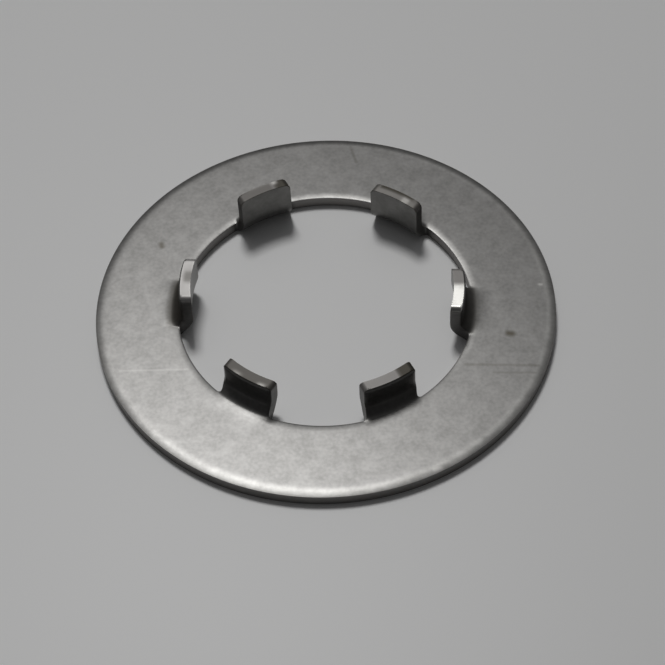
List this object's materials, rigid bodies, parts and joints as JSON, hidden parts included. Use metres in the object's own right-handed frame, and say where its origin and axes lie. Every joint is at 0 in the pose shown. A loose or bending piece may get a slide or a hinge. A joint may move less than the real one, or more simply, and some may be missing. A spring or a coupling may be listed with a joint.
{
  "type": "tab washer",
  "caption": "Flat round washer stamped from sheet steel, with upright tabs bent up around its bore to hold a round part.",
  "frame": {"origin": "on the washer's axis, in the plane of its flat underside", "axes": "+Z along the axis, from the flat ring towards the tab tips; +X through the middle of the first tab"},
  "size_m": [0.025, 0.025, 0.0028],
  "materials": {
    "steel": "bare cold-rolled sheet steel, dull and slightly mottled, with bright sheared edges"
  },
  "bodies": {
    "root": {"tab_washer": "steel"}
  },
  "joints": []
}
